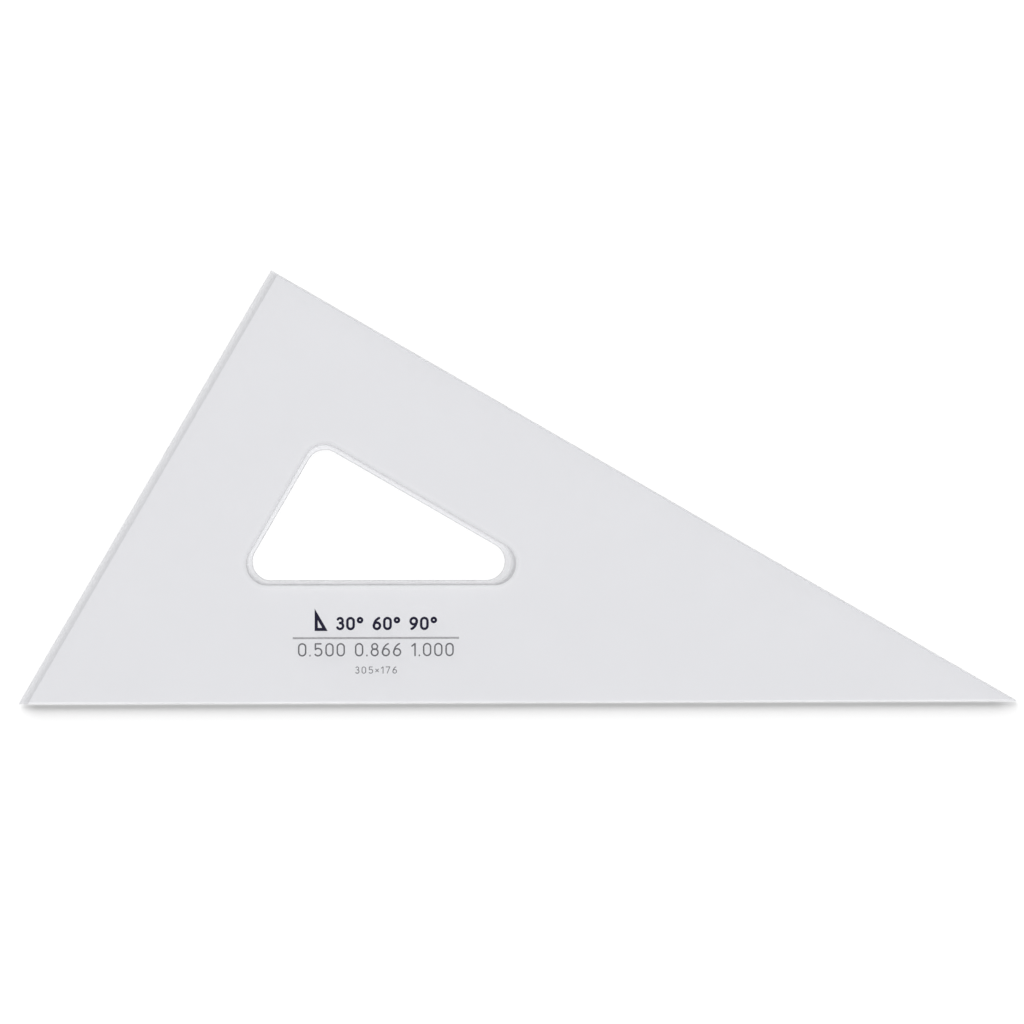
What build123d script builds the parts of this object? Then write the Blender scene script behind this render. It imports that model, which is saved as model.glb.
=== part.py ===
"""Clear 30/60/90 drafting triangle with a finger opening and a small block of print.

The triangle lies flat with its hypotenuse along X and its underside at z = 0. The origin is under the
middle of its bounding box. The right angle is at the back left, the 60 degree corner at the front left
and the 30 degree corner at the front right. Lengths are in millimetres and angles in degrees.
"""

import os
from math import atan2, cos, degrees, radians, sin, tan

from build123d import *

# Sheet
long_leg = 304.8
sharp_angle = 30.0
plate_thickness = 2.5

# Ruling edges: a sloping relief underneath keeps each edge clear of wet ink, and its top corner is broken
short_leg_relief = 2.1
long_leg_relief = 0.6
hypotenuse_relief = 0.6
relief_slope = 23.0
edge_break = 0.2
edge_break_slope = 45.0

# Finger opening: its sides follow the outer edges, a little nearer to the hypotenuse than to the short leg,
# and a fingernail goes under its undercut rim
opening_border = 44.0
opening_shift_x = 0.5
opening_shift_y = -0.8
opening_radius = 6.6
undercut_width = 1.9
undercut_radius = 7.7
undercut_depth = 1.9

# Print: rows of ink on the upper face, in the middle of the band between the opening and the hypotenuse
ink_thickness = 0.04
print_shift = 13.3

symbol_height = 7.9
symbol_border = 1.1
symbol_gap = 2.8
symbol_rise = 3.35

angle_height = 4.7
angle_pen = 0.88
angle_letter_gap = 0.62
angle_word_gap = 3.2
angle_rise = 3.6

rule_length = 58.4
rule_width = 0.7
rule_rise = 0.85

sine_height = 4.7
sine_pen = 0.52
sine_letter_gap = 1.0
sine_word_gap = 3.5
sine_rise = -5.6

size_height = 2.5
size_pen = 0.3
size_letter_gap = 0.78
size_rise = -11.65

# Numerals: lengths along the pen's centre line, as shares of its height, and turns of its bowls
numeral_width = 0.58
waist_height = 0.53
waist_overlap = 0.03
one_flag_rise = 0.8
one_stem = 0.26
four_stem = 0.43
four_bar_rise = 0.28
five_bowl = 0.31
five_flag = 0.09
five_bar_end = 0.55
hook_end = 0.49
hook_inset = 0.03
seven_foot = 0.17
degree_radius = 0.19
point_height = 0.03
cross_width = 0.42
cross_rise = 0.22
three_sweep = 240.0
five_start = 135.0
five_sweep = 275.0

# Worked out from the sizes above
blunt_angle = 90.0 - sharp_angle
short_leg = long_leg * tan(radians(sharp_angle))
hypotenuse = long_leg / cos(radians(sharp_angle))
altitude = long_leg * sin(radians(sharp_angle))
inradius = (long_leg + short_leg - hypotenuse) / 2

right_corner = Vector(-hypotenuse / 2 + short_leg * cos(radians(blunt_angle)), altitude / 2)
blunt_corner = Vector(-hypotenuse / 2, -altitude / 2)
sharp_corner = Vector(hypotenuse / 2, -altitude / 2)
middle = Vector(-hypotenuse / 2 + inradius / tan(radians(blunt_angle / 2)), inradius - altitude / 2)

print_x = middle.X + print_shift
print_y = (opening_border - altitude) / 2
upper_face = Plane.XY.offset(plate_thickness)
angle_text = f"{sharp_angle:.0f}° {blunt_angle:.0f}° 90°"
sine_text = f"{sin(radians(sharp_angle)):.3f} {sin(radians(blunt_angle)):.3f} 1.000"
size_text = f"{long_leg:.0f}×{short_leg:.0f}"


def opening_corners(border):
    """Corners of the opening before rounding: the outer triangle, less a border, and shifted a little."""
    share = 1 - border / inradius
    centre = middle + Vector(opening_shift_x, opening_shift_y)
    return [centre + (corner - middle) * share for corner in (right_corner, blunt_corner, sharp_corner)]


def edge_plane(start, end, inset, height, slope):
    """Plane along a line that lies inside a ruling edge, tipped from level by a slope towards the inside."""
    along = (end - start).normalized()
    inward = Vector(-along.Y, along.X)
    normal = inward * sin(radians(slope)) + Vector(0, 0, cos(radians(slope)))
    return Plane(origin=start + inward * inset + Vector(0, 0, height), x_dir=along, z_dir=normal)


def make_numerals():
    """Strokes of a drawing pen for each character, by centre line, one unit tall and standing on y = 0."""
    wide = numeral_width
    bowl = wide / 2
    low_bowl = (waist_height + waist_overlap) / 2
    high_bowl = (1 - waist_height) / 2
    low_ring = CenterArc((bowl, low_bowl), low_bowl, 0, 360)
    high_ring = CenterArc((bowl, 1 - high_bowl), high_bowl, 0, 360)
    point = Line((0, 0), (0, point_height))

    zero = [
        CenterArc((bowl, 1 - bowl), bowl, 0, 180),
        Line((0, 1 - bowl), (0, bowl)),
        CenterArc((bowl, bowl), bowl, 180, 180),
        Line((wide, bowl), (wide, 1 - bowl)),
    ]
    one = Polyline((0, one_flag_rise), (one_stem, 1), (one_stem, 0))
    # The bowl of a 2 ends where a straight neck from the foot touches it
    foot_angle = degrees(atan2(1 - bowl, bowl))
    two_bowl = CenterArc((bowl, 1 - bowl), bowl, 180, 2 * foot_angle - 360)
    two_neck = Line(two_bowl @ 1, (0, 0))
    two_foot = Line((0, 0), (wide, 0))
    three_top = CenterArc((bowl, 1 - high_bowl), high_bowl, three_sweep - 90, -three_sweep)
    three_bottom = CenterArc((bowl, low_bowl), low_bowl, 90, -three_sweep)
    four_upright = Line((four_stem, 0), (four_stem, 1))
    four_angle = Polyline((four_stem, 1), (0, four_bar_rise), (wide, four_bar_rise))
    five_bottom = CenterArc((five_bowl, five_bowl), five_bowl, five_start, -five_sweep)
    five_top = Polyline((five_bar_end, 1), (five_flag, 1), five_bottom @ 0)
    six_ring = CenterArc((bowl, bowl), bowl, 0, 360)
    six_hook = TangentArc((hook_inset, bowl), (hook_end, 1), tangent=(0, 1))
    seven = Polyline((0, 1), (wide, 1), (seven_foot, 0))
    nine_ring = CenterArc((bowl, 1 - bowl), bowl, 0, 360)
    nine_hook = TangentArc((wide - hook_inset, 1 - bowl), (wide - hook_end, 0), tangent=(0, -1))
    degree_ring = CenterArc((degree_radius, 1 - degree_radius), degree_radius, 0, 360)
    cross_up = Line((0, cross_rise), (cross_width, cross_rise + cross_width))
    cross_down = Line((0, cross_rise + cross_width), (cross_width, cross_rise))
    return {
        "0": [zero],
        "1": [[one]],
        "2": [[two_bowl, two_neck], [two_foot]],
        "3": [[three_top], [three_bottom]],
        "4": [[four_upright], [four_angle]],
        "5": [[five_bottom], [five_top]],
        "6": [[six_ring], [six_hook]],
        "7": [[seven]],
        "8": [[low_ring], [high_ring]],
        "9": [[nine_ring], [nine_hook]],
        "°": [[degree_ring]],
        ".": [[point]],
        "×": [[cross_up], [cross_down]],
    }


numerals = make_numerals()


def character_width(character, tall, pen):
    """Width of a character as printed: its centre line and half a pen on each side."""
    lines = [line for stroke in numerals[character] for line in stroke]
    return tall * max(line.bounding_box().max.X for line in lines) + pen


def row_width(text, height, pen, letter_gap, word_gap=0.0):
    """Printed width of a row of characters."""
    tall = height - pen
    words = text.split(" ")
    letters = "".join(words)
    gaps = letter_gap * (len(letters) - len(words)) + word_gap * (len(words) - 1)
    return gaps + sum(character_width(letter, tall, pen) for letter in letters)


def pen_stroke(path, pen):
    """Face that a round pen covers as its tip follows a path."""
    if path.is_closed:
        return Face(path.offset_2d(pen / 2), [path.offset_2d(-pen / 2)])
    return Face(path.offset_2d(pen / 2, side=Side.BOTH))


def draw_row(text, left, baseline, height, pen, letter_gap, word_gap=0.0):
    """Draw a row of characters in the current sketch, from its left end and its baseline."""
    tall = height - pen
    for word in text.split(" "):
        for letter in word:
            place = Location((left + pen / 2, baseline + pen / 2))
            for stroke in numerals[letter]:
                lines = [line.scale(tall).moved(place) for line in stroke]
                add(pen_stroke(Wire([edge for line in lines for edge in line.edges()]), pen))
            left += character_width(letter, tall, pen) + letter_gap
        left += word_gap - letter_gap


with BuildPart() as acrylic_plate:
    with BuildSketch():
        Polygon(right_corner, blunt_corner, sharp_corner, align=None)
    extrude(amount=plate_thickness)
    reliefs = [
        (right_corner, blunt_corner, short_leg_relief),
        (blunt_corner, sharp_corner, hypotenuse_relief),
        (sharp_corner, right_corner, long_leg_relief),
    ]
    for start, end, relief in reliefs:
        split(bisect_by=edge_plane(start, end, relief, 0, relief_slope), keep=Keep.TOP)
        break_plane = edge_plane(start, end, edge_break, plate_thickness, 180 - edge_break_slope)
        split(bisect_by=break_plane, keep=Keep.TOP)
    with BuildSketch() as opening:
        Polygon(*opening_corners(opening_border), align=None)
        fillet(opening.vertices(), opening_radius)
    extrude(amount=plate_thickness, mode=Mode.SUBTRACT)
    with BuildSketch() as undercut_foot:
        Polygon(*opening_corners(opening_border - undercut_width), align=None)
        fillet(undercut_foot.vertices(), undercut_radius)
    with BuildSketch(Plane.XY.offset(undercut_depth)) as undercut_top:
        Polygon(*opening_corners(opening_border), align=None)
        fillet(undercut_top.vertices(), opening_radius)
    loft(ruled=True, mode=Mode.SUBTRACT)
    opening_rim = acrylic_plate.faces().sort_by(Axis.Z)[-1].inner_wires()[0]
    chamfer(opening_rim.edges(), edge_break)

symbol_width = symbol_height * tan(radians(sharp_angle))
angle_style = (angle_height, angle_pen, angle_letter_gap, angle_word_gap)
angle_row_width = row_width(angle_text, *angle_style)
first_row_left = print_x - (symbol_width + symbol_gap + angle_row_width) / 2

with BuildPart() as print_triangle_symbol:
    with BuildSketch(upper_face) as symbol:
        foot = Vector(first_row_left, print_y + symbol_rise)
        Polygon(foot, foot + Vector(symbol_width, 0), foot + Vector(0, symbol_height), align=None)
        offset(amount=-symbol_border, kind=Kind.INTERSECTION, mode=Mode.SUBTRACT)
    extrude(amount=ink_thickness)

with BuildPart() as print_angle_numerals:
    with BuildSketch(upper_face):
        draw_row(angle_text, first_row_left + symbol_width + symbol_gap, print_y + angle_rise, *angle_style)
    extrude(amount=ink_thickness)

with BuildPart() as print_rule_line:
    with BuildSketch(upper_face):
        with Locations((print_x, print_y + rule_rise)):
            Rectangle(rule_length, rule_width)
    extrude(amount=ink_thickness)

with BuildPart() as print_sine_numerals:
    with BuildSketch(upper_face):
        sine_style = (sine_height, sine_pen, sine_letter_gap, sine_word_gap)
        sine_left = print_x - row_width(sine_text, *sine_style) / 2
        draw_row(sine_text, sine_left, print_y + sine_rise, *sine_style)
    extrude(amount=ink_thickness)

with BuildPart() as print_size_numerals:
    with BuildSketch(upper_face):
        size_style = (size_height, size_pen, size_letter_gap)
        size_left = print_x - row_width(size_text, *size_style) / 2
        draw_row(size_text, size_left, print_y + size_rise, *size_style)
    extrude(amount=ink_thickness)

os.makedirs("parts", exist_ok=True)
pieces = {
    "acrylic_plate": acrylic_plate,
    "print_triangle_symbol": print_triangle_symbol,
    "print_angle_numerals": print_angle_numerals,
    "print_rule_line": print_rule_line,
    "print_sine_numerals": print_sine_numerals,
    "print_size_numerals": print_size_numerals,
}
for name, piece in pieces.items():
    piece.part.label = name
    export_step(piece.part, f"parts/{name}.step")
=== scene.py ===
# %% [markdown]
# # A clear drafting triangle, seen from straight above
#
# The object is one flat sheet of clear acrylic, cut to a 30/60/90 triangle, with a
# rounded finger opening and a few rows of printed numerals. The solids come from
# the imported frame. This lesson gives them the look of polished plastic and ink.

import math

import bmesh
import bpy
from mathutils import Euler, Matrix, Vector


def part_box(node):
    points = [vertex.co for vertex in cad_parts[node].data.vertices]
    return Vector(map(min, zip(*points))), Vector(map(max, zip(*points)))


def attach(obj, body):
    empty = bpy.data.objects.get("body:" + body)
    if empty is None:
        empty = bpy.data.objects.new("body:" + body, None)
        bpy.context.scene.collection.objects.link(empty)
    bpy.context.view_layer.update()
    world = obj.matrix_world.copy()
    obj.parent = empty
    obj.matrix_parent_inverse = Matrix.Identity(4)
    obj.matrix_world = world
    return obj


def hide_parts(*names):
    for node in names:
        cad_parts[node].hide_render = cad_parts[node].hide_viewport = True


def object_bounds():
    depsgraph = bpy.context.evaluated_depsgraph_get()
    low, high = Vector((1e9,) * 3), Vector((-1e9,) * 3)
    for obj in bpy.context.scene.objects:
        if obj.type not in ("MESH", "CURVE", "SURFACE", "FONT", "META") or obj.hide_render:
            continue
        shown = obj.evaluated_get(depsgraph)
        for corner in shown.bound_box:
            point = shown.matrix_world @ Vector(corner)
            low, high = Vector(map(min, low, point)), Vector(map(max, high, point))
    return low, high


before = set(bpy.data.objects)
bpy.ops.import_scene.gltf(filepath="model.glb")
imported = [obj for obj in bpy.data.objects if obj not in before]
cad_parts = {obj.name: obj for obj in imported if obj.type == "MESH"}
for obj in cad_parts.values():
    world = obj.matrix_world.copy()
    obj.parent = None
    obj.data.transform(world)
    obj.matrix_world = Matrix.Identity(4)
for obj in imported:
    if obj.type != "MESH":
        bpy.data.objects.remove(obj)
cad_low, cad_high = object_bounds()
MM = 0.001
MICRON = 0.000001
CUBIC_CM = 0.000001
print("CAD box in mm:", [round(side / MM, 2) for side in cad_high - cad_low])

# %% [markdown]
# ## Camera
#
# The photograph looks straight down, to within two and a half degrees. A long lens from
# about 0.85 m away keeps the outline's sides almost free of perspective. An orthographic
# camera would come close, but in the photograph the three corners aren't quite where
# they would be from straight above, and a real lens with a small tilt puts them there.

# %% Camera above the sheet
LENS = 85.0
SENSOR = 36.0
NEAR_LIMIT = 0.01
PICTURE_WIDTH = 361.06 * MM
PICTURE_CENTRE = Vector((-3.19 * MM, -9.08 * MM, cad_high.z))
PICTURE_TILT = Euler([math.radians(turn) for turn in (1.41, -1.83, -0.09)])

camera_data = bpy.data.cameras.new("overhead_camera")
camera_data.lens = LENS
camera_data.sensor_width = SENSOR
camera_data.clip_start = NEAR_LIMIT
camera = bpy.data.objects.new("overhead_camera", camera_data)
camera_height = PICTURE_WIDTH * LENS / SENSOR
up_the_lens = PICTURE_TILT.to_matrix() @ Vector((0.0, 0.0, camera_height))
camera.location = PICTURE_CENTRE + up_the_lens
camera.rotation_euler = PICTURE_TILT
bpy.context.scene.collection.objects.link(camera)
bpy.context.scene.camera = camera
print("camera height in m:", round(camera.location.z, 3))

# %% [markdown]
# ## One class for shader sums
#
# Node trees are easier to read as sums. This class wraps one output socket. Adding or
# multiplying two of them adds a Math node, and every other node comes from one method.


# %% Shader sums as Python sums
class Shade:
    """One output socket of a material's node tree."""

    def __init__(self, tree, socket=None):
        self.tree = tree
        self.socket = socket

    def node(self, kind, settings=None, inputs=None, output=0):
        """A new node with these settings and inputs, by one of its outputs."""
        made = self.tree.nodes.new(kind)
        settings = dict(settings or {})
        stops = settings.pop("stops", ())
        for name, value in settings.items():
            setattr(made, name, value)
        for number, (place, colour) in enumerate(stops):
            if number >= len(made.color_ramp.elements):
                made.color_ramp.elements.new(place)
            made.color_ramp.elements[number].position = place
            made.color_ramp.elements[number].color = colour
        for name, value in (inputs or {}).items():
            if isinstance(value, Shade):
                self.tree.links.new(value.socket, made.inputs[name])
            else:
                made.inputs[name].default_value = value
        return Shade(self.tree, made.outputs[output] if made.outputs else None)

    def sum(self, operation, first, second):
        """A Math node on two values or sockets."""
        settings = {"operation": operation}
        return self.node("ShaderNodeMath", settings, {0: first, 1: second})

    def __add__(self, other):
        return self.sum("ADD", self, other)

    def __sub__(self, other):
        return self.sum("SUBTRACT", self, other)

    def __mul__(self, other):
        return self.sum("MULTIPLY", self, other)

    def __rsub__(self, other):
        return self.sum("SUBTRACT", other, self)

    __radd__ = __add__
    __rmul__ = __mul__


def new_finish(name):
    """A material with an empty node tree, and the start of its shader sums."""
    material = bpy.data.materials.new(name)
    material.use_nodes = True
    material.node_tree.nodes.clear()
    return material, Shade(material.node_tree)


# %% [markdown]
# ## Floor and light
#
# The sheet lies on white paper under one soft lamp, which stands past the right angle
# and a little to the left, with light from all round that is stronger on the lamp's
# side. The lamp is broad enough for soft shadows, and low enough that the sheet's edge
# throws a narrow one past the hypotenuse. A studio would use a screen, which is an area
# lamp in Blender, but a broad sun is as strong at one end of the sheet as at the other.
# The lamp is hidden from reflections and from bent light, because a lamp that is seen
# through a rough edge leaves white specks. Light also runs round inside clear plastic
# many times, so the scene allows 24 bounces, where Blender's usual number is 12.

# %% White paper under the sheet
PAPER_GAP = 0.08 * MM
PAPER_REACH = 30.0
PAPER_WHITE = 0.9
PAPER_MOTTLE = 0.01
PAPER_FIBRES = 900.0
PAPER_ROUGHNESS = 0.9

paper, start = new_finish("white_paper")
place = start.node("ShaderNodeTexCoord", output="Object")
fibres = {"Vector": place, "Scale": PAPER_FIBRES}
fibre = start.node("ShaderNodeTexNoise", inputs=fibres)
tone = fibre * PAPER_MOTTLE + (PAPER_WHITE - PAPER_MOTTLE / 2)
colour = start.node("ShaderNodeCombineColor", inputs={0: tone, 1: tone, 2: tone})
matte_inputs = {
    "Base Color": colour,
    "Roughness": PAPER_ROUGHNESS,
    "Specular IOR Level": 0.0,
}
matte = start.node("ShaderNodeBsdfPrincipled", inputs=matte_inputs)
start.node("ShaderNodeOutputMaterial", inputs={"Surface": matte})

floor_mesh = bmesh.new()
bmesh.ops.create_grid(floor_mesh, x_segments=1, y_segments=1, size=PAPER_REACH)
bmesh.ops.translate(floor_mesh, vec=(0.0, 0.0, -PAPER_GAP), verts=floor_mesh.verts)
floor_data = bpy.data.meshes.new("paper")
floor_mesh.to_mesh(floor_data)
floor_mesh.free()
floor_data.materials.append(paper)
floor = bpy.data.objects.new("paper", floor_data)
bpy.context.scene.collection.objects.link(floor)
print("paper is", 2 * PAPER_REACH, "m wide")

# %% Lamp past the right angle and light from all round
ROOM_LIGHT = 0.63
ROOM_LEAN = 0.45
LAMP_STRENGTH = 3.80
LAMP_SPREAD = math.radians(60.0)
LAMP_HEADING = math.radians(110.0)
LAMP_RISE = math.radians(29.0)
ALL_BOUNCES = 24
CLEAR_BOUNCES = 20

lamp_side = Vector((math.cos(LAMP_HEADING), math.sin(LAMP_HEADING), 0.0))
towards_lamp = lamp_side * math.cos(LAMP_RISE)
towards_lamp.z = math.sin(LAMP_RISE)

world = bpy.data.worlds.new("soft_room")
world.use_nodes = True
world.node_tree.nodes.clear()
start = Shade(world.node_tree)
ways = {0: start.node("ShaderNodeTexCoord", output="Generated"), 1: lamp_side}
product = {"operation": "DOT_PRODUCT"}
nearness = start.node("ShaderNodeVectorMath", product, ways, output="Value")
strength = (nearness * ROOM_LEAN + 1.0) * ROOM_LIGHT
glow = {"Color": (1.0, 1.0, 1.0, 1.0), "Strength": strength}
background = start.node("ShaderNodeBackground", inputs=glow)
start.node("ShaderNodeOutputWorld", inputs={"Surface": background})
bpy.context.scene.world = world

lamp_data = bpy.data.lights.new("soft_lamp", "SUN")
lamp_data.angle = LAMP_SPREAD
lamp_data.energy = LAMP_STRENGTH
lamp = bpy.data.objects.new("soft_lamp", lamp_data)
lamp.location = towards_lamp
lamp.rotation_euler = towards_lamp.to_track_quat("Z", "Y").to_euler()
lamp.visible_glossy = False
lamp.visible_transmission = False
bpy.context.scene.collection.objects.link(lamp)

paths = bpy.context.scene.cycles
paths.max_bounces = ALL_BOUNCES
paths.glossy_bounces = CLEAR_BOUNCES
paths.transmission_bounces = CLEAR_BOUNCES
view_settings = bpy.context.scene.view_settings
view_settings.view_transform = "Standard"
view_settings.look = "None"
print("lamp at", [round(c, 2) for c in lamp.location])

# %% [markdown]
# ## Clear acrylic
#
# Clear acrylic bends light with an index of 1.49. Cycles would leave the paper below
# it almost black, because lamps can't find their way through bent light. So rays that
# go to the lamps and rays that gather light for the paper meet a plain tinted pane
# instead, and only the rays that the eye follows are bent.

# %% A clear finish, bent for the eye and straight for lamps
ACRYLIC_INDEX = 1.49
PANE_BLUE = 1.006


def clear_pane(start, level):
    """A plain pane with a hint of the sheet's cool tint, for lamp rays."""
    colour = (level, level, min(1.0, level * PANE_BLUE), 1.0)
    return start.node("ShaderNodeBsdfTransparent", inputs={"Color": colour})


def straight_for_lamps(start, seen, pane):
    """Ends a finish: one shader for the eye, and a pane for lamps and for the paper."""
    for ray in ("Is Diffuse Ray", "Is Shadow Ray"):
        asks = start.node("ShaderNodeLightPath", output=ray)
        seen = start.node("ShaderNodeMixShader", inputs={0: asks, 1: seen, 2: pane})
    start.node("ShaderNodeOutputMaterial", inputs={"Surface": seen})


def clear_finish(
    start, tint, roughness, normal, pane, clarity=1.0, index=ACRYLIC_INDEX
):
    """A clear finish: bent light for the eye, a straight pane for lamps."""
    glass_inputs = {
        "Base Color": tint,
        "Roughness": roughness,
        "IOR": index,
        "Transmission Weight": clarity,
        "Normal": normal,
    }
    clear = start.node("ShaderNodeBsdfPrincipled", inputs=glass_inputs)
    straight_for_lamps(start, clear, pane)


# %% A cool tint that drifts a little over the sheet
TINT_GREEN = 1.003
TINT_BLUE = 1.025
DRIFT_STOPS = (0.3, 0.7)


def tint_between(start, factor, dark, light):
    """A cool clear tint that drifts between two levels."""
    stops = [
        (place, (level, level * TINT_GREEN, level * TINT_BLUE, 1.0))
        for place, level in zip(DRIFT_STOPS, (dark, light))
    ]
    return start.node("ShaderNodeValToRGB", {"stops": stops}, {"Fac": factor})


# %% [markdown]
# ## Edges that hold light back
#
# Light that comes in through the upper face meets the edge too flat to get out, and is
# thrown back. So the edge throws a dark shadow, though the sheet is clear. Near a
# corner light comes in through the other edge instead, and gets out again. Cycles could
# follow all of this with caustics, but slowly and with grain. Here a pane with two
# sides treats light going out and light coming in apart, and a dark one opens towards
# the hypotenuse's two ends.

# %% Panes that treat light going out and light coming in apart
CORNER_REACHES = (4.8 * MM, 7.5 * MM)
CORNER_LETS_OUT = 0.66


def corner_share(start):
    """How near the hypotenuse's ends a point is, from 0 to 1 at a corner."""
    place = start.node("ShaderNodeTexCoord", output="Object")
    along = start.node("ShaderNodeSeparateXYZ", inputs={"Vector": place}, output="X")
    from_left = (along - cad_low.x) * (1.0 / CORNER_REACHES[0])
    from_right = (cad_high.x - along) * (1.0 / CORNER_REACHES[1])
    nearest = start.sum("MINIMUM", from_left, from_right)
    return start.sum("MAXIMUM", 1.0 - nearest, 0.0)


def one_way_pane(start, lets_out, lets_in):
    """A pane that treats light leaving the sheet and light entering it apart."""
    leaving = clear_pane(start, lets_out)
    if lets_out < CORNER_LETS_OUT:
        opened = clear_pane(start, CORNER_LETS_OUT)
        ends = {0: corner_share(start), 1: leaving, 2: opened}
        leaving = start.node("ShaderNodeMixShader", inputs=ends)
    side = start.node("ShaderNodeNewGeometry", output="Backfacing")
    panes = {0: side, 1: leaving, 2: clear_pane(start, lets_in)}
    return start.node("ShaderNodeMixShader", inputs=panes)


# %% [markdown]
# ## Polished faces
#
# The two broad faces are left as the sheet was made: all but flat, with a slow wave, and
# with fine hairlines from wiping. A plain glass shader would do from above. The wave and
# the hairlines show at a low angle, where a perfect face looks like a mirror.

# %% Polished faces of the sheet
POLISHED_TINTS = (0.905, 0.915)
POLISHED_PANE = 0.885
WAVE_SCALE = 35.0
WAVE_DEPTH = 20.0 * MICRON
WIPED_TURN = (0.0, 0.0, 0.5)
WIPED_SCALE = (30.0, 4000.0, 30.0)
LEAST_ROUGHNESS = 0.005
HAIRLINE_ROUGHNESS = 0.03

finishes = {}
finishes["acrylic_polished"], start = new_finish("acrylic_polished")
place = start.node("ShaderNodeTexCoord", output="Object")
cloud = start.node("ShaderNodeTexNoise", inputs={"Vector": place, "Scale": WAVE_SCALE})
wiped = {"Vector": place, "Rotation": WIPED_TURN, "Scale": WIPED_SCALE}
stretch = start.node("ShaderNodeMapping", inputs=wiped)
hairline = start.node("ShaderNodeTexNoise", inputs={"Vector": stretch, "Scale": 1.0})
wave = start.node("ShaderNodeBump", inputs={"Height": cloud, "Distance": WAVE_DEPTH})
clear_finish(
    start,
    tint_between(start, cloud, *POLISHED_TINTS),
    hairline * HAIRLINE_ROUGHNESS + LEAST_ROUGHNESS,
    wave,
    clear_pane(start, POLISHED_PANE),
)
print("finish: acrylic_polished")

# %% [markdown]
# ## Milled faces
#
# The edges, the reliefs under them and the bevel round the opening are cut by a mill,
# so they are less clear than the polished faces. Some of their tints are painted light:
# the darker reliefs of the legs are partly painted shade, the band beside the short
# leg's relief and the bands towards and beside the bevel's foot are painted shade, and
# the paler relief of the hypotenuse is a painted highlight line. One function makes all
# of these finishes from a table. A row gives the tint, the roughness, the depth of the
# cutter's marks in microns, the shares of lamp light that pass out and in, the clear
# share, with the rest satin white, and the index of bending. Satin white turns light or
# dark with the way a face looks, which tells the sides of the opening apart. At 45
# degrees its bevel would throw the eye's rays sideways through the whole sheet, and they
# would come back as grain. A low index lets the eye see the paper through it, as in the
# photograph.

# %% Milled faces, with the fine marks of the cutter
SEEN_THROUGH = 1.1
CUTTER_MARKS = (2500.0, 2500.0, 60.0)
MARKS_TINT = 0.02
MARKS_MEAN = 0.5
MILLED = {
    # tint, roughness, marks, lets out, lets in, clear share, index
    "acrylic_leg_edge": (0.60, 0.30, 0.5, 0.85, 0.85, 0.60, ACRYLIC_INDEX),
    "acrylic_leg_break": (0.76, 0.55, 2.0, 0.85, 0.85, 1.0, ACRYLIC_INDEX),
    # Leg reliefs: milled, and their darker tint is partly painted shade
    "acrylic_leg_relief": (0.74, 0.20, 1.0, 0.92, 0.92, 0.85, ACRYLIC_INDEX),
    "acrylic_hypotenuse_edge": (0.85, 0.30, 0.5, 0.12, 0.90, 0.55, ACRYLIC_INDEX),
    "acrylic_hypotenuse_break": (0.80, 0.55, 2.0, 0.12, 0.90, 1.0, ACRYLIC_INDEX),
    # Hypotenuse relief: its paler tint is a painted highlight line
    "acrylic_hypotenuse_relief": (0.96, 0.03, 0.5, 1.0, 1.0, 1.0, ACRYLIC_INDEX),
    # This band along the short leg's relief is painted shade, a dark line
    "acrylic_relief_painted_shade": (0.62, 0.14, 5.0, 0.88, 0.88, 1.0, ACRYLIC_INDEX),
    "acrylic_opening_break": (0.45, 0.10, 2.0, 1.0, 1.0, 1.0, ACRYLIC_INDEX),
    "acrylic_opening_wall": (0.90, 0.03, 0.5, 1.0, 1.0, 1.0, ACRYLIC_INDEX),
    "acrylic_bevel": (0.74, 0.06, 0.5, 1.0, 1.0, 0.76, SEEN_THROUGH),
    # This row and the three below darken towards the bevel's foot and beside it: painted
    # shade
    "acrylic_bevel_fade": (0.68, 0.08, 0.5, 1.0, 1.0, 0.68, SEEN_THROUGH),
    "acrylic_bevel_painted_shade": (0.50, 0.10, 0.5, 1.0, 1.0, 0.56, SEEN_THROUGH),
    "acrylic_bevel_foot": (0.69, 0.10, 0.5, 0.95, 0.95, 1.0, ACRYLIC_INDEX),
    "acrylic_bevel_faint": (0.80, 0.10, 0.5, 0.95, 0.95, 1.0, ACRYLIC_INDEX),
}


def milled_finish(name, tint, roughness, depth, lets_out, lets_in, clarity, index):
    """A milled face, from one row of the table."""
    finishes[name], start = new_finish(name)
    place = start.node("ShaderNodeTexCoord", output="Object")
    squeeze = {"Vector": place, "Scale": CUTTER_MARKS}
    squeezed = start.node("ShaderNodeMapping", inputs=squeeze)
    marks = start.node("ShaderNodeTexNoise", inputs={"Vector": squeezed, "Scale": 1.0})
    grooves = {"Height": marks, "Distance": depth * MICRON}
    clear_finish(
        start,
        tint_between(start, marks, tint - MARKS_TINT, tint + MARKS_TINT),
        (marks + (1.0 - MARKS_MEAN)) * roughness,
        start.node("ShaderNodeBump", inputs=grooves),
        one_way_pane(start, lets_out, lets_in),
        clarity,
        index,
    )
    print("finish:", name)


for milled_name, milled in MILLED.items():
    milled_finish(milled_name, *milled)
slots = {name: number for number, name in enumerate(finishes)}

# %% [markdown]
# ## The sheet
#
# The real triangle is sawn from sheet, and its edges and opening are milled. The
# imported solid has those shapes with knife-sharp edges, and could be given a clear
# finish as it is. This copy is cut the same way, by planes, so that every face can have
# its own finish and its edges the fine rounding that polishing leaves. On clear plastic
# those roundings are the lines that the eye sees. Narrow bands of a darker finish beside
# them are painted shade, standing for the soft dark lines that shade leaves there.

# %% Corners of the triangle, from the imported solid's own box
INK_CLEARANCE = 0.004 * MM
RIGHT_ANGLE_SHARE = 1 / 4

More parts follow.
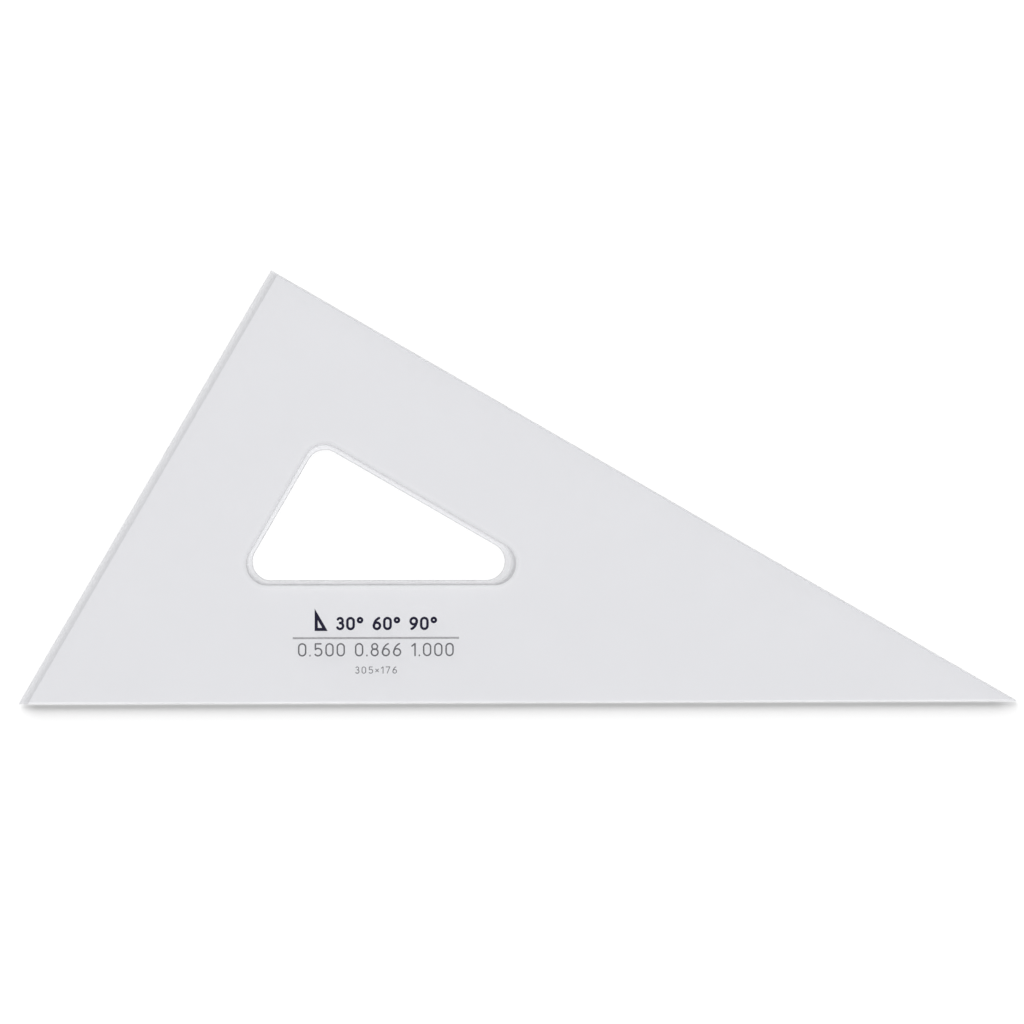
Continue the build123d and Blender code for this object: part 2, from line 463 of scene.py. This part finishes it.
plate_low, plate_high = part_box("acrylic_plate")
SHEET_TOP = plate_high.z - INK_CLEARANCE
hypotenuse = plate_high.x - plate_low.x
corners = [
    Vector((plate_low.x, plate_low.y, 0.0)),
    Vector((plate_high.x, plate_low.y, 0.0)),
    Vector((plate_low.x + hypotenuse * RIGHT_ANGLE_SHARE, plate_high.y, 0.0)),
]
sides = list(zip(corners, corners[1:] + corners[:1]))
lengths = [(end - begin).length for begin, end in sides]
inward = [
    Vector((begin.y - end.y, end.x - begin.x, 0.0)).normalized()
    for begin, end in sides
]
print("sides in mm:", [round(length / MM, 1) for length in lengths])

# %% Prism, relieved underneath and broken along its upper edge
RELIEF = [0.6 * MM, 0.6 * MM, 2.1 * MM]
RELIEF_SLOPE = math.radians(23.0)
# Half width of the band of painted shade along the short leg's relief
SHADE_REACH = 0.5 * MM
EDGE_BREAK = 0.2 * MM
EDGE_BREAK_TURNS = [math.radians(30.0), math.radians(60.0)]
UP = Vector((0.0, 0.0, 1.0))


def cut_away(mesh, point, outward):
    """Cuts off what lies past a plane and closes the cut."""
    everything = mesh.verts[:] + mesh.edges[:] + mesh.faces[:]
    cut = bmesh.ops.bisect_plane(
        mesh,
        geom=everything,
        plane_co=point,
        plane_no=outward,
        clear_outer=True,
    )
    rim = [part for part in cut["geom_cut"] if isinstance(part, bmesh.types.BMEdge)]
    bmesh.ops.contextual_create(mesh, geom=rim)


sheet = bmesh.new()
outline = [sheet.verts.new(corner) for corner in corners]
base = bmesh.ops.contextual_create(sheet, geom=outline)["faces"]
raised = bmesh.ops.extrude_face_region(sheet, geom=base)["geom"]
raised = [part for part in raised if isinstance(part, bmesh.types.BMVert)]
bmesh.ops.translate(sheet, vec=UP * SHEET_TOP, verts=raised)
for (begin, end), inside, width in zip(sides, inward, RELIEF):
    slope = -inside * math.sin(RELIEF_SLOPE) - UP * math.cos(RELIEF_SLOPE)
    cut_away(sheet, begin + inside * width, slope)
    edge_middle = begin + inside * EDGE_BREAK + UP * (SHEET_TOP - EDGE_BREAK)
    for turn in EDGE_BREAK_TURNS:
        slope = -inside * math.sin(turn) + UP * math.cos(turn)
        cut_away(sheet, edge_middle + slope * EDGE_BREAK, slope)
bmesh.ops.recalc_face_normals(sheet, faces=sheet.faces)
print("prism:", len(sheet.verts), "corners,", len(sheet.faces), "faces, volume in cm3:",
      round(abs(sheet.calc_volume()) / CUBIC_CM, 2))

# %% A band of painted shade by the short leg's relief, and a finish for every face
SIDE_EDGES = ["acrylic_hypotenuse_edge", "acrylic_leg_edge", "acrylic_leg_edge"]
SIDE_BREAKS = ["acrylic_hypotenuse_break", "acrylic_leg_break", "acrylic_leg_break"]
SIDE_RELIEFS = ["acrylic_hypotenuse_relief", "acrylic_leg_relief", "acrylic_leg_relief"]
FLAT = 0.9999
LEANS_UP = 0.1
LOOKS_DOWN = -0.5

below = [face for face in sheet.faces if face.normal.z < LOOKS_DOWN]
for reach in (RELIEF[2] - SHADE_REACH, RELIEF[2] + SHADE_REACH):
    edges = {edge for face in below for edge in face.edges}
    verts = {vert for face in below for vert in face.verts}
    bmesh.ops.bisect_plane(
        sheet,
        geom=below + list(edges) + list(verts),
        plane_co=sides[2][0] + inward[2] * reach,
        plane_no=inward[2],
    )
    below = [face for face in sheet.faces if face.normal.z < LOOKS_DOWN]
for face in sheet.faces:
    middle = face.calc_center_median()
    reaches = [
        (middle - begin).dot(inside) for (begin, _), inside in zip(sides, inward)
    ]
    side = reaches.index(min(reaches))
    # The band along the relief's inner edge gets the painted shade finish
    if face.normal.z < LOOKS_DOWN and abs(reaches[2] - RELIEF[2]) < SHADE_REACH:
        face.material_index = slots["acrylic_relief_painted_shade"]
    elif abs(face.normal.z) > FLAT:
        face.material_index = slots["acrylic_polished"]
    elif face.normal.z < LOOKS_DOWN:
        face.material_index = slots[SIDE_RELIEFS[side]]
    elif face.normal.z > LEANS_UP:
        face.material_index = slots[SIDE_BREAKS[side]]
    else:
        face.material_index = slots[SIDE_EDGES[side]]
print("prism faces by finish:", sorted(face.material_index for face in sheet.faces))

# %% [markdown]
# ## The finger opening
#
# A fingertip lifts or slides the sheet by its opening, which is milled through and
# undercut from below by a 45 degree bevel. A Boolean cut would make the same hole, but
# leaves no say in where its edges run. Here each height of the wall is a loop of
# straight sides and spun arcs, and the loops are bridged. The bevel's last bands towards
# its foot get darker tints, which are painted shade. Two more loops on the underside
# bound bands of darker finish beside the bevel's foot, also painted shade. They lie
# below it only while they are bridged, so that the loops stay apart, and are then raised
# to the underside.

# %% Rounded loops for the finger opening
OPENING_BORDER = 44.0 * MM
OPENING_SHIFT = Vector((0.5 * MM, -0.8 * MM, 0.0))
OPENING_RADIUS = 6.6 * MM
UNDERCUT_WIDTH = 1.9 * MM
UNDERCUT_RADIUS = 7.7 * MM
UNDERCUT_DEPTH = 1.9 * MM
# These four widths bound the bands of painted shade on the bevel and beside its foot
RIM_SHADE_REACH = 0.5 * MM
RIM_FADE = 0.9 * MM
RIM_FOOT = 0.5 * MM
RIM_FAINT = 1.1 * MM
ARC_STEPS = 28
CORNER_ANGLES = [math.radians(60.0), math.radians(30.0), math.radians(90.0)]

inradius = (lengths[1] + lengths[2] - lengths[0]) / 2
weights = [lengths[1], lengths[2], lengths[0]]
incentre = sum((c * w for c, w in zip(corners, weights)), Vector()) / sum(weights)


def opening_loop(mesh, border, radius, height):
    """Edges of the opening's outline, this far inside the sides, at one height."""
    shrink = 1.0 - (border + radius) / inradius
    before = set(mesh.edges)
    ends = []
    for number, (corner, angle) in enumerate(zip(corners, CORNER_ANGLES)):
        centre = incentre + (corner - incentre) * shrink + OPENING_SHIFT + UP * height
        first = mesh.verts.new(centre - inward[number - 1] * radius)
        arc = bmesh.ops.spin(
            mesh,
            geom=[first],
            cent=centre,
            axis=UP,
            angle=math.pi - angle,
            steps=ARC_STEPS,
        )
        last = [v for v in arc["geom_last"] if isinstance(v, bmesh.types.BMVert)][0]
        ends.append((first, last))
    for (first, last), (after, _) in zip(ends, ends[1:] + ends[:1]):
        bmesh.ops.contextual_create(mesh, geom=[last, after])
    return [edge for edge in mesh.edges if edge not in before]


# %% Heights of the loops, from the upper face to the underside
def bevel_level(run):
    """Border, radius and height of a loop on the bevel, this far in from its foot."""
    share = 1.0 - run / UNDERCUT_WIDTH
    border = OPENING_BORDER - UNDERCUT_WIDTH * share
    radius = OPENING_RADIUS + (UNDERCUT_RADIUS - OPENING_RADIUS) * share
    return border, radius, UNDERCUT_DEPTH * (1.0 - share)


def band_level(run):
    """The same for a loop this far past the bevel's foot and as far below it."""
    return OPENING_BORDER - UNDERCUT_WIDTH - run, UNDERCUT_RADIUS + run, -run


levels = [
    (OPENING_BORDER - EDGE_BREAK, OPENING_RADIUS + EDGE_BREAK, SHEET_TOP),
    (OPENING_BORDER, OPENING_RADIUS, SHEET_TOP - EDGE_BREAK),
    bevel_level(UNDERCUT_WIDTH),
    bevel_level(RIM_FADE),
    bevel_level(RIM_SHADE_REACH),
    bevel_level(0.0),
    band_level(RIM_FOOT),
    band_level(RIM_FAINT),
]
rim = bmesh.new()
loops = [opening_loop(rim, *level) for level in levels]
print("opening:", [len(loop) for loop in loops], "edges in each loop")

# %% Walls of the opening, bridged from loop to loop
POLISH_ROUND = 0.05 * MM
POLISH_FACETS = 2
RIM_FINISHES = [
    "acrylic_opening_break",
    "acrylic_opening_wall",
    "acrylic_bevel",
    # The next four finishes are darker bands of painted shade towards and beside the foot
    "acrylic_bevel_fade",
    "acrylic_bevel_painted_shade",
    "acrylic_bevel_foot",
    "acrylic_bevel_faint",
]

for upper, lower, finish in zip(loops, loops[1:], RIM_FINISHES):
    for face in bmesh.ops.bridge_loops(rim, edges=upper + lower)["faces"]:
        face.material_index = slots[finish]
for loop, run in zip(loops[-2:], (RIM_FOOT, RIM_FAINT)):
    band = {vert for edge in loop for vert in edge.verts}
    bmesh.ops.translate(rim, vec=UP * run, verts=list(band))
inner_loops = [edge for loop in loops[1:3] for edge in loop]
bmesh.ops.bevel(
    rim,
    geom=inner_loops,
    offset=POLISH_ROUND,
    offset_type="OFFSET",
    affect="EDGES",
    segments=POLISH_FACETS,
    profile=0.5,
    material=-1,
)
rim_data = bpy.data.meshes.new("opening_rim")
rim.to_mesh(rim_data)
rim.free()
sheet.from_mesh(rim_data)
bpy.data.meshes.remove(rim_data)
print("opening walls joined:", len(sheet.faces), "faces in all")

# %% Upper face and underside, each filled round the opening
LEVEL = 0.001 * MM


def open_edges(mesh, height):
    """Edges at one height that bound a single face."""
    return [
        edge
        for edge in mesh.edges
        if edge.is_boundary
        and all(abs(vert.co.z - height) < LEVEL for vert in edge.verts)
    ]


for height in (SHEET_TOP, 0.0):
    flat = max(
        (f for f in sheet.faces if abs(f.calc_center_median().z - height) < LEVEL),
        key=lambda f: f.calc_area(),
    )
    bmesh.ops.delete(sheet, geom=[flat], context="FACES_ONLY")
    bmesh.ops.triangle_fill(
        sheet, edges=open_edges(sheet, height), use_beauty=True, use_dissolve=False
    )
bmesh.ops.recalc_face_normals(sheet, faces=sheet.faces)
if sheet.calc_volume(signed=True) < 0.0:
    bmesh.ops.reverse_faces(sheet, faces=sheet.faces)
leaks = [edge for edge in sheet.edges if not edge.is_manifold]
print("sheet:", len(sheet.faces), "faces,", len(leaks), "leaks, volume in cm3:",
      round(sheet.calc_volume(signed=True) / CUBIC_CM, 2))

# %% Smooth shading, and the sheet as one object
SMOOTH_STEP = math.radians(12.0)

for face in sheet.faces:
    face.smooth = True
for edge in sheet.edges:
    edge.smooth = edge.calc_face_angle(0.0) < SMOOTH_STEP
sheet_data = bpy.data.meshes.new("clear_sheet")
sheet.to_mesh(sheet_data)
sheet.free()
for finish in finishes.values():
    sheet_data.materials.append(finish)
clear_sheet = bpy.data.objects.new("clear_sheet", sheet_data)
bpy.context.scene.collection.objects.link(clear_sheet)
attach(clear_sheet, "root")
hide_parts("acrylic_plate")
print("clear_sheet:", len(sheet_data.polygons), "faces")

# %% [markdown]
# ## Ink
#
# The numerals are screen printed, so each is a film of ink with a faint grain and
# slightly uneven colour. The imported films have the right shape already, and only get
# a better finish.

# %% Four inks
INKS = {
    "ink_navy": (0.012, 0.011, 0.026),
    "ink_soft_grey": (0.27, 0.27, 0.28),
    "ink_grey": (0.10, 0.10, 0.108),
    "ink_pale_grey": (0.13, 0.13, 0.14),
}
INK_ROWS = {
    "ink_navy": ["print_triangle_symbol", "print_angle_numerals"],
    "ink_soft_grey": ["print_rule_line"],
    "ink_grey": ["print_sine_numerals"],
    "ink_pale_grey": ["print_size_numerals"],
}
INK_PANE = 0.93
INK_SHINE = 0.1
MOTTLE_SCALE = 1500.0
MOTTLE_DETAIL = 4.0
MOTTLE_STOPS = (0.35, 0.75)
MOTTLE_ROUGHNESS = 0.25
LEAST_INK_ROUGHNESS = 0.4
THIN_INK = 1.4
GRAIN_SCALE = 6000.0
GRAIN_DEPTH = 4.0 * MICRON


def ink_finish(name, ink):
    """Screen-printed ink, mottled where the mesh of the screen left it thin."""
    material, start = new_finish(name)
    place = start.node("ShaderNodeTexCoord", output="Object")
    patches = {"Vector": place, "Scale": MOTTLE_SCALE, "Detail": MOTTLE_DETAIL}
    mottle = start.node("ShaderNodeTexNoise", inputs=patches)
    thin = tuple(channel * THIN_INK for channel in ink)
    stops = [(at, tone + (1.0,)) for at, tone in zip(MOTTLE_STOPS, (ink, thin))]
    colour = start.node("ShaderNodeValToRGB", {"stops": stops}, {"Fac": mottle})
    fine = {"Vector": place, "Scale": GRAIN_SCALE}
    grain = start.node("ShaderNodeTexNoise", inputs=fine)
    relief = {"Height": grain, "Distance": GRAIN_DEPTH}
    film_inputs = {
        "Base Color": colour,
        "Roughness": mottle * MOTTLE_ROUGHNESS + LEAST_INK_ROUGHNESS,
        "Specular IOR Level": INK_SHINE,
        "Normal": start.node("ShaderNodeBump", inputs=relief),
    }
    film = start.node("ShaderNodeBsdfPrincipled", inputs=film_inputs)
    straight_for_lamps(start, film, clear_pane(start, INK_PANE))
    return material


for ink_name, rows in INK_ROWS.items():
    ink_material = ink_finish(ink_name, INKS[ink_name])
    for row in rows:
        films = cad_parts[row].data.materials
        films.clear()
        films.append(ink_material)
    print(ink_name, "on", rows)
